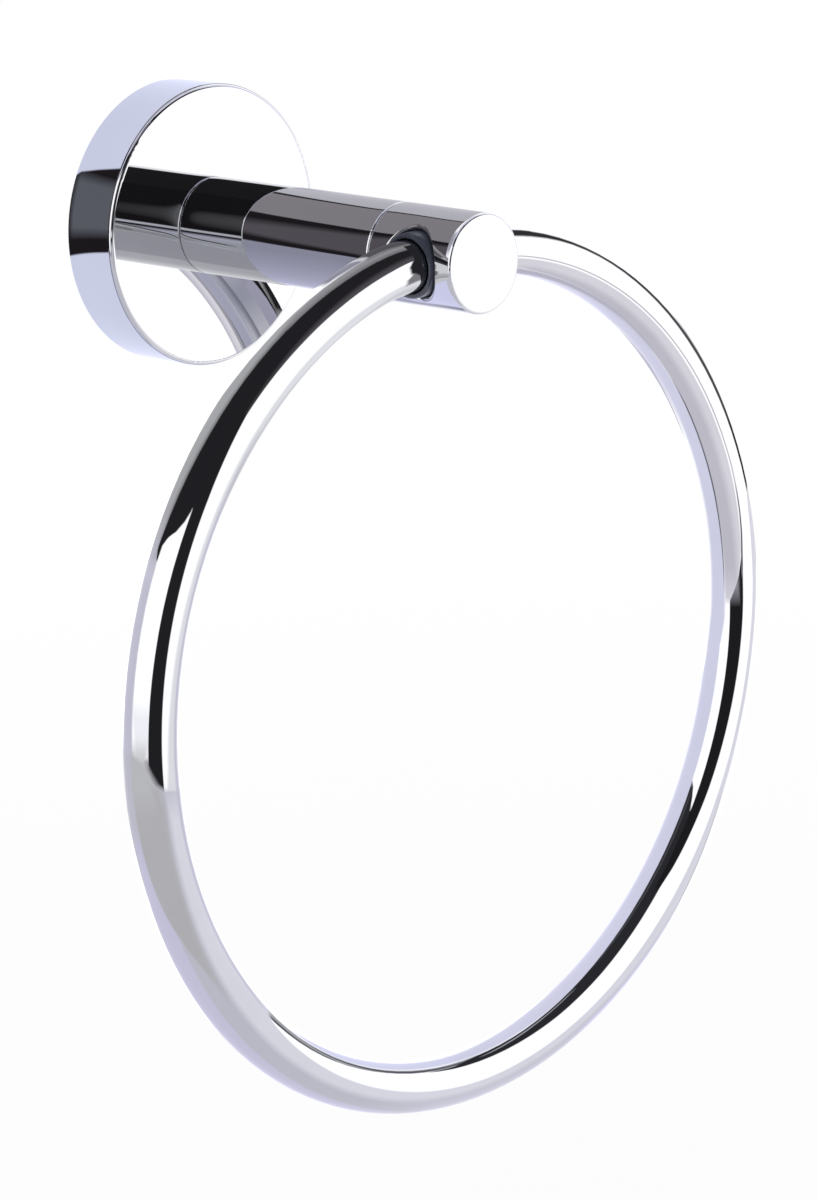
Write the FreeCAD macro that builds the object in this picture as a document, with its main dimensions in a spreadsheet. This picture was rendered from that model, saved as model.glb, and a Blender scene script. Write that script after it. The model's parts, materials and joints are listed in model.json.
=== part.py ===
import FreeCAD, Part
import math
import operator
import os
import Sketcher

# Towel ring: a round rosette on the wall, a post out from it, and a ring hanging through the post's head.
# The wall is the plane y = 0 and the front faces -Y, with +Z up. The origin is on the wall behind the rosette.
# Pieces on the post's axis are drawn as seen from the front: X right, Y up, Z out from the wall.

DRIVING_SIZES = [
    ("rosetteDiameter", 55.0, "outside of the rosette"),
    ("rosetteDepth", 12.0, "from the wall to the rosette's flat front"),
    ("rosetteWall", 2.5, "rim wall, deep enough for the grub screw's thread"),
    ("rosetteFront", 2.5, "thickness of the flat front"),
    ("rosetteEdge", 0.9, "rounding of the front edge"),
    ("rosetteCorner", 1.2, "rounding inside the rim"),
    ("postDiameter", 19.0, "outside of the post and the head"),
    ("postWall", 2.5, "wall of the post's tube"),
    ("postLength", 50.5, "from the rosette's front to the seam with the head"),
    ("seamEdge", 0.4, "polished rounding at the post's two joints"),
    ("seatHeight", 2.0, "raised seat that centres the post on the rosette"),
    ("headLength", 21.0, "from the seam to the flat end"),
    ("headEdge", 0.5, "rounding of the flat end's edge"),
    ("crossEdge", 0.6, "polished rounding at the mouths of the cross hole"),
    ("spigotLength", 6.0, "head's spigot inside the post"),
    ("spigotChamfer", 0.5, "lead-in of the spigot"),
    ("seatClearance", 0.02, "radial clearance of pieces that seat in each other"),
    ("rodDiameter", 6.0, "tie rod, M6"),
    ("rodClearance", 0.2, "radial clearance of the tie rod's plain hole"),
    ("rodWeb", 1.2, "metal left between the rod's hole and the cross hole"),
    ("rodEndGap", 0.3, "room at the bottom of the rod's hole"),
    ("rodTail", 1.5, "rod standing out behind the nut"),
    ("rodChamfer", 0.6, "broken ends of the tie rod"),
    ("washerDiameter", 12.0, "lock washer under the nut"),
    ("washerThickness", 1.2, "lock washer under the nut"),
    ("washerToothDepth", 1.3, "slots round the lock washer"),
    ("washerSlotWidth", 1.0, "slots round the lock washer"),
    ("washerSlotCount", 10, "slots round the lock washer"),
    ("nutWidth", 10.0, "across the nut's flats"),
    ("nutHeight", 3.2, "thin nut, M6"),
    ("nutFaceDiameter", 9.5, "round face inside the nut's chamfer"),
    ("nutChamferAngle", 30.0, "degrees, crown of the nut"),
    ("plateThickness", 6.0, "wall plate"),
    ("plateClearance", 0.25, "gap between the wall plate and the rosette's rim"),
    ("plateNutRoom", 2.25, "between the nut's flats and the hole in the wall plate's middle"),
    ("plateChamfer", 0.6, "front edge of the wall plate"),
    ("grooveDepth", 1.2, "V groove that the grub screw points into"),
    ("screwHoleDiameter", 4.5, "wall screw hole"),
    ("screwHeadDiameter", 9.0, "countersink of the wall screw hole"),
    ("countersinkAngle", 90.0, "degrees, countersink of the wall screw hole"),
    ("grubDiameter", 4.0, "grub screw, M4"),
    ("grubRecess", 0.3, "grub screw below the rosette's rim"),
    ("grubGap", 0.15, "between the grub screw's cone and the sides of the groove"),
    ("grubTipDiameter", 0.8, "flat on the grub screw's cone"),
    ("grubSocketWidth", 2.0, "across the flats of the hexagon socket"),
    ("grubSocketDepth", 1.6, "hexagon socket"),
    ("ringRadius", 81.0, "ring's bend, to the middle of the tube"),
    ("ringBendRadius", 40.0, "bend beside the ring's straight ends"),
    ("tubeDiameter", 10.0, "outside of the ring's tube"),
    ("tubeWall", 1.5, "wall of the ring's tube"),
    ("bushWall", 1.0, "wall of the two bushes in the cross hole"),
    ("bushClearance", 0.2, "radial gap between the tube and the bush"),
    ("bushProud", 0.3, "bush standing out of the head's side"),
    ("bushEdge", 0.7, "rounding of the bush's outer edge"),
    ("bushMouth", 0.25, "chamfer at the mouth of the bush's bore"),
    ("collarLength", 5.0, "collar between the ring's two ends"),
    ("collarGap", 0.5, "radial gap round the collar"),
    ("endPlay", 0.25, "gap between the collar and each bush"),
    ("pinShort", 1.5, "between the pin's ends and the ring's bends"),
    ("pinChamfer", 0.6, "lead-in of the pin's ends"),
]

OPERATIONS = {"+": operator.add, "-": operator.sub, "*": operator.mul, "/": operator.truediv}
SAME_PLACE = 1e-4  # two places nearer than this are the same one


class Size:
    # A length that carries its number and the sheet formula that gives it.
    def __init__(self, value, formula):
        self.value = float(value)
        self.formula = formula

    def joined(self, sign, other, swapped=False):
        if not isinstance(other, Size):
            other = Size(other, repr(float(other)))
        first, second = (other, self) if swapped else (self, other)
        return Size(
            OPERATIONS[sign](first.value, second.value), f"({first.formula} {sign} {second.formula})"
        )

    def __add__(self, other):
        return self.joined("+", other)

    def __radd__(self, other):
        return self.joined("+", other, swapped=True)

    def __sub__(self, other):
        return self.joined("-", other)

    def __rsub__(self, other):
        return self.joined("-", other, swapped=True)

    def __mul__(self, other):
        return self.joined("*", other)

    def __truediv__(self, other):
        return self.joined("/", other)

    def __neg__(self):
        return Size(-self.value, f"(-1 * {self.formula})")

    def tangent(self):
        return Size(math.tan(math.radians(self.value)), f"tan({self.formula} * 1 deg)")


document = FreeCAD.newDocument("towel_ring")
sheet = document.addObject("Spreadsheet::Sheet", "Sizes")
size = {}
for row, (alias, value, meaning) in enumerate(DRIVING_SIZES, 1):
    sheet.set(f"A{row}", alias)
    sheet.set(f"B{row}", str(value))
    sheet.set(f"C{row}", meaning)
    sheet.setAlias(f"B{row}", alias)
    size[alias] = Size(value, f"Sizes.{alias}")
document.recompute()

# Radii and places that several pieces share, along the post's axis from the wall.
rosetteRadius = size["rosetteDiameter"] / 2
rosetteBore = rosetteRadius - size["rosetteWall"]
rosetteInside = size["rosetteDepth"] - size["rosetteFront"]
postRadius = size["postDiameter"] / 2
postBore = postRadius - size["postWall"]
postSeat = postBore - size["seatClearance"]
seam = size["rosetteDepth"] + size["postLength"]
frontEnd = seam + size["headLength"]
ringReach = seam + size["headLength"] / 2
rodRadius = size["rodDiameter"] / 2
rodHole = rodRadius + size["rodClearance"]
nutFlat = size["nutWidth"] / 2
plateRadius = rosetteBore - size["plateClearance"]
plateMiddle = size["plateThickness"] / 2
plateHole = nutFlat + size["plateNutRoom"]
tubeRadius = size["tubeDiameter"] / 2
tubeBore = tubeRadius - size["tubeWall"]
bushBore = tubeRadius + size["bushClearance"]
bushRadius = bushBore + size["bushWall"]
crossHole = bushRadius + size["seatClearance"]
bushEnd = postRadius + size["bushProud"]
collarHalf = size["collarLength"] / 2

FACING_FRONT = FreeCAD.Rotation(FreeCAD.Vector(1, 0, 0), 90)
FACING_DOWN = FreeCAD.Rotation(FreeCAD.Vector(1, 0, 0), 180)
FACING_RIGHT = FreeCAD.Rotation(FreeCAD.Vector(0, 1, 0), 90)
FACING_LEFT = FreeCAD.Rotation(FreeCAD.Vector(0, 1, 0), -90)
UPRIGHT = FreeCAD.Rotation()


def newBody(name, facing=FACING_FRONT, **base):
    body = document.addObject("PartDesign::Body", name)
    body.Label = name
    body.Placement = FreeCAD.Placement(FreeCAD.Vector(0, 0, 0), facing)
    for axis, place in base.items():
        body.setExpression(f".Placement.Base.{axis}", place.formula)
    return body


def newSketch(body, name, role, offset=None):
    sketch = body.newObject("Sketcher::SketchObject", name)
    plane = next(feature for feature in body.Origin.OriginFeatures if feature.Role == role)
    sketch.AttachmentSupport = [(plane, "")]
    sketch.MapMode = "FlatFace"
    if offset is not None:
        sketch.setExpression(".AttachmentOffset.Base.z", offset.formula)
    return sketch


def hold(sketch, constraint, length):
    place = sketch.addConstraint(constraint)
    sketch.setExpression(f"Constraints[{place}]", length.formula)


def holdPoint(sketch, edge, end, across, up):
    # A coordinate that is plain 0 puts the point on the sketch's own axis.
    for way, place, axis in (("DistanceX", across, -2), ("DistanceY", up, -1)):
        if isinstance(place, Size):
            hold(sketch, Sketcher.Constraint(way, -1, 1, edge, end, place.value), place)
        else:
            sketch.addConstraint(Sketcher.Constraint("PointOnObject", edge, end, axis))


def number(place):
    return place.value if isinstance(place, Size) else float(place)


def drawOutline(sketch, corners):
    points = [FreeCAD.Vector(number(across), number(up), 0) for across, up in corners]
    lines = [Part.LineSegment(start, end) for start, end in zip(points, points[1:] + points[:1])]
    sketch.addGeometry(lines, False)
    for edge, (across, up) in enumerate(corners):
        sketch.addConstraint(Sketcher.Constraint("Coincident", edge, 2, (edge + 1) % len(corners), 1))
        holdPoint(sketch, edge, 1, across, up)


def drawCircle(sketch, radius, across=0, up=0):
    centre = FreeCAD.Vector(number(across), number(up), 0)
    circle = sketch.addGeometry(Part.Circle(centre, FreeCAD.Vector(0, 0, 1), radius.value), False)
    hold(sketch, Sketcher.Constraint("Radius", circle, radius.value), radius)
    if number(across) == 0 and number(up) == 0:
        sketch.addConstraint(Sketcher.Constraint("Coincident", circle, 3, -1, 1))
    else:
        holdPoint(sketch, circle, 3, across, up)


def drawHexagon(sketch, width):
    # Six corners on a construction circle, with two flats level.
    corner = width / math.sqrt(3)
    first = FreeCAD.Vector(corner.value, 0, 0)
    points = [FreeCAD.Rotation(FreeCAD.Vector(0, 0, 1), 60 * side).multVec(first) for side in range(6)]
    circle = sketch.addGeometry(Part.Circle(FreeCAD.Vector(), FreeCAD.Vector(0, 0, 1), corner.value), True)
    sketch.addConstraint(Sketcher.Constraint("Coincident", circle, 3, -1, 1))
    hold(sketch, Sketcher.Constraint("Radius", circle, corner.value), corner)
    sides = [
        sketch.addGeometry(Part.LineSegment(start, end), False)
        for start, end in zip(points, points[1:] + points[:1])
    ]
    for before, after in zip(sides, sides[1:] + sides[:1]):
        sketch.addConstraint(Sketcher.Constraint("Coincident", before, 2, after, 1))
        sketch.addConstraint(Sketcher.Constraint("PointOnObject", after, 1, circle))
    for before, after in zip(sides, sides[1:-1]):
        sketch.addConstraint(Sketcher.Constraint("Equal", before, after))
    sketch.addConstraint(Sketcher.Constraint("PointOnObject", sides[0], 1, -1))


def turn(body, corners):
    # A turned piece from half its section: each corner is (radius, place along the axis).
    section = newSketch(body, f"{body.Name}_section", "XZ_Plane")
    drawOutline(section, corners)
    turning = body.newObject("PartDesign::Revolution", f"{body.Name}_turning")
    turning.Profile = section
    turning.ReferenceAxis = (section, ["V_Axis"])
    turning.Angle = 360
    document.recompute()
    return turning


def extrude(body, kind, sketch, name, length=None, both=False, backwards=False):
    feature = body.newObject(f"PartDesign::{kind}", name)
    feature.Profile = sketch
    if both:
        feature.SideType = "Symmetric"
    feature.Reversed = backwards
    if length is None:
        feature.Type = "ThroughAll"
    else:
        feature.setExpression("Length", length.formula)
    document.recompute()
    return feature


def rimEdges(feature, *rims):
    # The names of the round edges with the given radii and places along the axis.
    names = []
    for count, edge in enumerate(feature.Shape.Edges, 1):
        if not isinstance(edge.Curve, Part.Circle):
            continue
        centre = edge.Curve.Center
        for radius, place in rims:
            off = (edge.Curve.Radius - radius.value, centre.z - number(place), centre.x, centre.y)
            if all(abs(distance) < SAME_PLACE for distance in off):
                names.append(f"Edge{count}")
    return names


def mouthEdges(feature, outside, hole, place):
    # The names of the edges where a hole along the sketch's X leaves a turned piece's outside.
    names = []
    for count, edge in enumerate(feature.Shape.Edges, 1):
        middle = edge.valueAt((edge.FirstParameter + edge.LastParameter) / 2)
        fromAxis = math.hypot(middle.x, middle.y) - outside.value
        fromHole = math.hypot(middle.y, middle.z - place.value) - hole.value
        if abs(fromAxis) < SAME_PLACE and abs(fromHole) < SAME_PLACE:
            names.append(f"Edge{count}")
    return names


def dress(body, kind, feature, length, *rims):
    # Rounds or breaks the rims of a turned piece.
    names = rimEdges(feature, *rims)
    dressed = body.newObject(f"PartDesign::{kind}", f"{body.Name}_{kind.lower()}_{len(body.Group)}")
    dressed.Base = (feature, names)
    dressed.setExpression("Radius" if kind == "Fillet" else "Size", length.formula)
    document.recompute()
    return dressed


def makeRosette():
    # A cup whose open back goes over the wall plate, with a raised seat for the post on its front.
    rosette = newBody("rosette")
    seatTop = size["rosetteDepth"] + size["seatHeight"]
    cup = turn(
        rosette,
        [
            (rosetteBore, 0),
            (rosetteRadius, 0),
            (rosetteRadius, size["rosetteDepth"]),
            (postSeat, size["rosetteDepth"]),
            (postSeat, seatTop),
            (rodHole, seatTop),
            (rodHole, rosetteInside),
            (rosetteBore, rosetteInside),
        ],
    )
    rounded = dress(rosette, "Fillet", cup, size["rosetteEdge"], (rosetteRadius, size["rosetteDepth"]))
    dress(rosette, "Fillet", rounded, size["rosetteCorner"], (rosetteBore, rosetteInside))
    grubHole = newSketch(rosette, "rosette_grub_hole", "XZ_Plane")
    drawCircle(grubHole, size["grubDiameter"] / 2 + size["seatClearance"], up=plateMiddle)
    extrude(rosette, "Pocket", grubHole, "rosette_grub_pocket", backwards=True)
    return rosette


def makeWallPlate():
    # The plate that is screwed to the wall, with a V groove round its rim for the grub screw.
    plate = newBody("wall_plate")
    thickness = size["plateThickness"]
    blank = turn(
        plate,
        [
            (plateHole, 0),
            (plateRadius, 0),
            (plateRadius, plateMiddle - size["grooveDepth"]),
            (plateRadius - size["grooveDepth"], plateMiddle),
            (plateRadius, plateMiddle + size["grooveDepth"]),
            (plateRadius, thickness),
            (plateHole, thickness),
        ],
    )
    dress(plate, "Chamfer", blank, size["plateChamfer"], (plateRadius, thickness), (plateHole, thickness))
    # The two screws stand level, midway between the plate's hole and its rim.
    screwPlace = (plateHole + plateRadius) / 2
    places = newSketch(plate, "wall_plate_screw_places", "XY_Plane", offset=thickness)
    for across in (-screwPlace, screwPlace):
        drawCircle(places, size["screwHoleDiameter"] / 2, across=across)
    document.recompute()
    drilled = plate.newObject("PartDesign::Hole", "wall_plate_screw_holes")
    drilled.Profile = places
    drilled.DepthType = "ThroughAll"
    drilled.setExpression("Diameter", size["screwHoleDiameter"].formula)
    drilled.HoleCutType = "Countersink"
    drilled.HoleCutCustomValues = True
    drilled.setExpression("HoleCutDiameter", size["screwHeadDiameter"].formula)
    drilled.setExpression("HoleCutCountersinkAngle", size["countersinkAngle"].formula)
    document.recompute()
    return plate


def makeGrubScrew():
    # A socket screw under the rosette's rim. Its cone points up into the wall plate's groove.
    radius = size["grubDiameter"] / 2
    tip = size["grubTipDiameter"] / 2
    tipPlace = plateRadius - size["grooveDepth"] + tip + size["grubGap"]
    length = rosetteRadius - size["grubRecess"] - tipPlace
    screw = newBody("grub_screw", FACING_DOWN, y=-plateMiddle, z=-tipPlace)
    turn(screw, [(0, 0), (tip, 0), (radius, radius - tip), (radius, length), (0, length)])
    socket = newSketch(screw, "grub_screw_socket", "XY_Plane", offset=length)
    drawHexagon(socket, size["grubSocketWidth"])
    extrude(screw, "Pocket", socket, "grub_screw_socket_pocket", size["grubSocketDepth"])
    return screw


def makePost():
    # A straight tube, clamped between the rosette and the head.
    post = newBody("post")
    tube = turn(
        post,
        [
            (postBore, size["rosetteDepth"]),
            (postRadius, size["rosetteDepth"]),
            (postRadius, seam),
            (postBore, seam),
        ],
    )
    joints = [(postRadius, size["rosetteDepth"]), (postRadius, seam)]
    dress(post, "Fillet", tube, size["seamEdge"], *joints)
    return post


def makeHead():
    # The solid end of the post: a spigot behind, a cross hole for the ring, and a flat polished end.
    head = newBody("head")
    spigotEnd = seam - size["spigotLength"]
    rodThread = rodRadius + size["seatClearance"]
    threadEnd = ringReach - crossHole - size["rodWeb"]
    blank = turn(
        head,
        [
            (rodThread, spigotEnd),
            (postSeat, spigotEnd),
            (postSeat, seam),
            (postRadius, seam),
            (postRadius, frontEnd),
            (0, frontEnd),
            (0, threadEnd),
            (rodThread, threadEnd),
        ],
    )
    rounded = dress(head, "Fillet", blank, size["seamEdge"], (postRadius, seam))
    led = dress(head, "Chamfer", rounded, size["spigotChamfer"], (postSeat, spigotEnd))
    dress(head, "Fillet", led, size["headEdge"], (postRadius, frontEnd))
    crossing = newSketch(head, "head_cross_hole", "YZ_Plane")
    drawCircle(crossing, crossHole, up=ringReach)
    crossed = extrude(head, "Pocket", crossing, "head_cross_pocket", both=True)
    mouths = head.newObject("PartDesign::Fillet", "head_cross_mouths")
    mouths.Base = (crossed, mouthEdges(crossed, postRadius, crossHole, ringReach))
    mouths.setExpression("Radius", size["crossEdge"].formula)
    document.recompute()
    return head


def makeTieRod():
    # A threaded rod from the head to the nut inside the rosette.
    rod = newBody("tie_rod")
    rear = rosetteInside - size["washerThickness"] - size["nutHeight"] - size["rodTail"]
    front = ringReach - crossHole - size["rodWeb"] - size["rodEndGap"]
    bar = turn(rod, [(0, rear), (rodRadius, rear), (rodRadius, front), (0, front)])
    dress(rod, "Chamfer", bar, size["rodChamfer"], (rodRadius, rear), (rodRadius, front))
    return rod


def makeTieNut():
    # A thin hexagon nut with both crowns chamfered.
    top = rosetteInside - size["washerThickness"]
    bottom = top - size["nutHeight"]
    bore = rodRadius + size["seatClearance"]
    nut = newBody("tie_nut")
    flats = newSketch(nut, "tie_nut_flats", "XY_Plane", offset=bottom)
    drawHexagon(flats, size["nutWidth"])
    drawCircle(flats, bore)
    extrude(nut, "Pad", flats, "tie_nut_blank", size["nutHeight"])
    # Each crown is turned off between its round face and a radius beyond the corners.
    face = size["nutFaceDiameter"] / 2
    beyond = size["nutWidth"]
    drop = (beyond - face) * size["nutChamferAngle"].tangent()
    for name, place, slope in (("front", top, -drop), ("rear", bottom, drop)):
        crown = newSketch(nut, f"tie_nut_{name}_crown", "XZ_Plane")
        drawOutline(crown, [(face, place), (beyond, place + slope), (beyond, place)])
        groove = nut.newObject("PartDesign::Groove", f"tie_nut_{name}_chamfer")
        groove.Profile = crown
        groove.ReferenceAxis = (crown, ["V_Axis"])
        groove.Angle = 360
        document.recompute()
    return nut


def makeTieWasher():
    # A lock washer with slots round its rim.
    top = rosetteInside
    bottom = top - size["washerThickness"]
    outside = size["washerDiameter"] / 2
    washer = newBody("tie_washer")
    turn(washer, [(rodHole, bottom), (outside, bottom), (outside, top), (rodHole, top)])
    slot = newSketch(washer, "tie_washer_slot", "XY_Plane", offset=top)
    half = size["washerSlotWidth"] / 2
    inner = outside - size["washerToothDepth"]
    outer = outside + size["washerToothDepth"]
    drawOutline(slot, [(-half, inner), (half, inner), (half, outer), (-half, outer)])
    first = extrude(washer, "Pocket", slot, "tie_washer_first_slot")
    slots = washer.newObject("PartDesign::PolarPattern", "tie_washer_slots")
    slots.Originals = [first]
    slots.Axis = (slot, ["N_Axis"])
    slots.Angle = 360
    slots.setExpression("Occurrences", size["washerSlotCount"].formula)
    washer.Tip = slots
    document.recompute()
    return washer


def makeBush(name, facing):
    # A plastic bush in the head's cross hole, drawn along the ring's hinge from the middle outwards.
    bush = newBody(name, facing, y=-ringReach)
    inner = collarHalf + size["endPlay"]
    sleeve = turn(
        bush, [(bushBore, inner), (bushRadius, inner), (bushRadius, bushEnd), (bushBore, bushEnd)]
    )
    rounded = dress(bush, "Fillet", sleeve, size["bushEdge"], (bushRadius, bushEnd))
    dress(bush, "Chamfer", rounded, size["bushMouth"], (bushBore, bushEnd))
    return bush


def makeRing():
    # A bent tube whose straight ends lie in the two bushes and meet at the pin's collar.
    ring = newBody("ring", UPRIGHT, y=-ringReach)
    bend = size["ringBendRadius"]
    radius = size["ringRadius"]
    drop = math.sqrt((radius.value - bend.value) ** 2 - bushEnd.value**2)
    centre = FreeCAD.Vector(0, -bend.value - drop, 0)
    bendCentre = FreeCAD.Vector(bushEnd.value, -bend.value, 0)
    along = (bendCentre - centre).normalize()
    leave = math.atan2(along.y, along.x)
    normal = FreeCAD.Vector(0, 0, 1)

    def arc(middle, reach, start, end):
        return Part.ArcOfCircle(Part.Circle(middle, normal, reach), start, end)

    route = newSketch(ring, "ring_route", "XZ_Plane")
    mirrored = FreeCAD.Vector(-bendCentre.x, bendCentre.y, 0)
    rightEnd, rightBend, hoop, leftBend, leftEnd = (
        route.addGeometry(piece, False)
        for piece in (
            Part.LineSegment(FreeCAD.Vector(collarHalf.value, 0, 0), FreeCAD.Vector(bushEnd.value, 0, 0)),
            arc(bendCentre, bend.value, leave, math.pi / 2),
            arc(centre, radius.value, math.pi - leave, 2 * math.pi + leave),
            arc(mirrored, bend.value, math.pi / 2, math.pi - leave),
            Part.LineSegment(FreeCAD.Vector(-bushEnd.value, 0, 0), FreeCAD.Vector(-collarHalf.value, 0, 0)),
        )
    )
    holdPoint(route, rightEnd, 1, collarHalf, 0)
    holdPoint(route, rightEnd, 2, bushEnd, 0)
    holdPoint(route, leftEnd, 1, -bushEnd, 0)
    holdPoint(route, leftEnd, 2, -collarHalf, 0)
    for first, firstEnd, second, secondEnd in (
        (rightEnd, 2, rightBend, 2),
        (rightBend, 1, hoop, 2),
        (hoop, 1, leftBend, 2),
        (leftBend, 1, leftEnd, 1),
    ):
        route.addConstraint(Sketcher.Constraint("Tangent", first, firstEnd, second, secondEnd))
    hold(route, Sketcher.Constraint("Radius", rightBend, bend.value), bend)
    hold(route, Sketcher.Constraint("Radius", hoop, radius.value), radius)
    section = newSketch(ring, "ring_section", "YZ_Plane", offset=collarHalf)
    drawCircle(section, tubeRadius)
    drawCircle(section, tubeBore)
    document.recompute()
    pipe = ring.newObject("PartDesign::AdditivePipe", "ring_tube")
    pipe.Profile = section
    pipe.Spine = (route, [f"Edge{edge}" for edge in range(1, 6)])
    document.recompute()
    return ring


def makeJointPin():
    # Joins the ring's two ends. Its collar lies between the bushes, so the ring can swing but not slide.
    pin = newBody("ring_joint_pin", FACING_RIGHT, y=-ringReach)
    collar = bushRadius - size["collarGap"]
    radius = tubeBore - size["seatClearance"]
    end = bushEnd - size["pinShort"]
    spindle = turn(
        pin,
        [
            (0, -end),
            (radius, -end),
            (radius, -collarHalf),
            (collar, -collarHalf),
            (collar, collarHalf),
            (radius, collarHalf),
            (radius, end),
            (0, end),
        ],
    )
    dress(pin, "Chamfer", spindle, size["pinChamfer"], (radius, -end), (radius, end))
    return pin


pieces = [
    makeRosette(),
    makeWallPlate(),
    makeGrubScrew(),
    makePost(),
    makeHead(),
    makeTieRod(),
    makeTieNut(),
    makeTieWasher(),
    makeBush("bush_left", FACING_LEFT),
    makeBush("bush_right", FACING_RIGHT),
    makeRing(),
    makeJointPin(),
]
document.recompute()

failed = [item.Name for item in document.Objects if {"Invalid", "Error"} & set(item.State)]
failed += [piece.Name for piece in pieces if piece.Shape.isNull() or not piece.Shape.isValid()]
if failed:
    raise SystemExit(f"not built: {failed}")

os.makedirs("parts", exist_ok=True)
for piece in pieces:
    piece.Shape.exportStep(f"parts/{piece.Label}.step")
    print(piece.Label, "volume", round(piece.Shape.Volume, 1), "mm3, solids", len(piece.Shape.Solids))
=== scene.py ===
import json
import math

import bmesh
import bpy
from mathutils import Matrix, Vector


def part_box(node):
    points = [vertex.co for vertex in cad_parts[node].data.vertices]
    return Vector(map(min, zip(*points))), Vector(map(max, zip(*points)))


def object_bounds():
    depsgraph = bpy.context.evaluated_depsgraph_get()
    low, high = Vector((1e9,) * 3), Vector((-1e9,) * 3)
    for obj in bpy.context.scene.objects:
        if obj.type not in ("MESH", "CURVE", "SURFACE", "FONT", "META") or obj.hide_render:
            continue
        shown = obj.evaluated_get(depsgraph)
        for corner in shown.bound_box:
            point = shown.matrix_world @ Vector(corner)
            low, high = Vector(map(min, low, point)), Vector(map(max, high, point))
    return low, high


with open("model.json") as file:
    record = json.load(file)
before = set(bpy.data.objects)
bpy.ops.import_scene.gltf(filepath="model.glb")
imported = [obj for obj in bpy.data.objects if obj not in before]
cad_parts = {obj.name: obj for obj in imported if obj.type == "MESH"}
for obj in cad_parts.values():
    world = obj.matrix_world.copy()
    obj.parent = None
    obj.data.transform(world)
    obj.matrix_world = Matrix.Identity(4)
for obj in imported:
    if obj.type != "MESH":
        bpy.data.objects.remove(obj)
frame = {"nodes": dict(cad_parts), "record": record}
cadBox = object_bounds()
print("frame loaded:", len(frame["nodes"]), "nodes")


far = 400  # degrees, past the full turn: a zone or band that ends there has no edge on that side


class Socket:  # a shader socket that can be used in sums
    def __init__(self, maker, source):
        self.maker = maker
        self.source = source

    def math(self, operation, *values, clamp=False):
        settings = {"operation": operation, "use_clamp": clamp}
        return self.maker.add("ShaderNodeMath", settings, dict(enumerate(values)))

    def __add__(self, other):
        return self.math("ADD", self, other)

    def __radd__(self, other):
        return self.math("ADD", other, self)

    def __sub__(self, other):
        return self.math("SUBTRACT", self, other)

    def __rsub__(self, other):
        return self.math("SUBTRACT", other, self)

    def __mul__(self, other):
        return self.math("MULTIPLY", self, other)

    def __rmul__(self, other):
        return self.math("MULTIPLY", other, self)

    def ramp(self, low, high):  # 0 at low and 1 at high, and it may fall as well as rise
        reach = high - low
        return self.math("MULTIPLY_ADD", self, 1 / reach, -low / reach, clamp=True)

    def between(self, low, high, soft):  # 1 from low to high, with soft edges
        return self.ramp(low - soft, low + soft).least(self.ramp(high + soft, high - soft))

    def least(self, other):
        return self.math("MINIMUM", self, other)

    def most(self, other):
        return self.math("MAXIMUM", self, other)

    def root(self):
        return self.math("SQRT", self)

    def size(self):
        return self.math("ABSOLUTE", self)

    def heading(self, other):  # the angle, in degrees, whose tangent is this over the other
        return self.math("ARCTAN2", self, other) * (180 / math.pi)


class Shader:  # builds one node tree
    def __init__(self, owner):
        owner.use_nodes = True
        self.tree = owner.node_tree
        self.tree.nodes.clear()

    def add(self, kind, settings=None, inputs=None, output=0):
        node = self.tree.nodes.new(kind)
        for name, value in (settings or {}).items():
            setattr(node, name, value)
        for name, value in (inputs or {}).items():
            if isinstance(value, Socket):
                self.tree.links.new(value.source, node.inputs[name])
            else:
                node.inputs[name].default_value = value
        return Socket(self, node.outputs[output]) if node.outputs else None

    def noise(self, where, scale, detail=2.0, roughness=0.5):
        inputs = {"Vector": where, "Scale": scale, "Detail": detail, "Roughness": roughness}
        return self.add("ShaderNodeTexNoise", {}, inputs)

    def mix(self, factor, first, second):
        inputs = {"Factor": factor, 6: first, 7: second}
        return self.add("ShaderNodeMix", {"data_type": "RGBA"}, inputs, output=2)

    def bump(self, height, strength, distance):
        inputs = {"Height": height, "Strength": strength, "Distance": distance}
        return self.add("ShaderNodeBump", {}, inputs)

    def place(self):
        return self.add("ShaderNodeTexCoord", output="Object")

    def split(self, vector):
        node = self.add("ShaderNodeSeparateXYZ", {}, {"Vector": vector}).source.node
        return [Socket(self, node.outputs[axis]) for axis in "XYZ"]

    def line(self, value, corners):  # a line through the corners, read off at the value
        (first, start), (last, end) = corners[0], corners[-1]
        node = self.add("ShaderNodeFloatCurve", {}, {"Value": value.ramp(first, last)}).source.node
        points = node.mapping.curves[0].points  # both ways from 0 to 1
        points[0].location = (0, start / far)
        points[1].location = (1, end / far)
        for place, level in corners[1:-1]:
            points.new((place - first) / (last - first), level / far)
        for point in points:
            point.handle_type = "VECTOR"
        node.mapping.update()
        return far * Socket(self, node.outputs["Value"])

    def rays(self):  # whether a ray is the camera's, a reflection or one that went through something
        node = self.add("ShaderNodeLightPath").source.node
        names = ("Is Camera Ray", "Is Glossy Ray", "Is Transmission Ray")
        return [Socket(self, node.outputs[name]) for name in names]

    def background(self, colour, strength=1):
        return self.add("ShaderNodeBackground", {}, {"Color": colour, "Strength": strength})

    def glow(self, colour):
        return self.add("ShaderNodeEmission", {}, {"Color": colour, "Strength": 1})

    def clear(self):
        return self.add("ShaderNodeBsdfTransparent")

    def behind(self):  # 1 on the back of a face
        return self.add("ShaderNodeNewGeometry", output="Backfacing")

    def blend(self, factor, first, second):  # the first shader at 0 and the second at 1
        return self.add("ShaderNodeMixShader", {}, {0: factor, 1: first, 2: second})

    def surface(self, shader):
        self.add("ShaderNodeOutputMaterial", {}, {"Surface": shader})

    def principled(self, inputs):
        self.surface(self.add("ShaderNodeBsdfPrincipled", {}, inputs))


def newMaterial(name):
    material = bpy.data.materials.new(name)
    return material, Shader(material)


# Finishes

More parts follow.
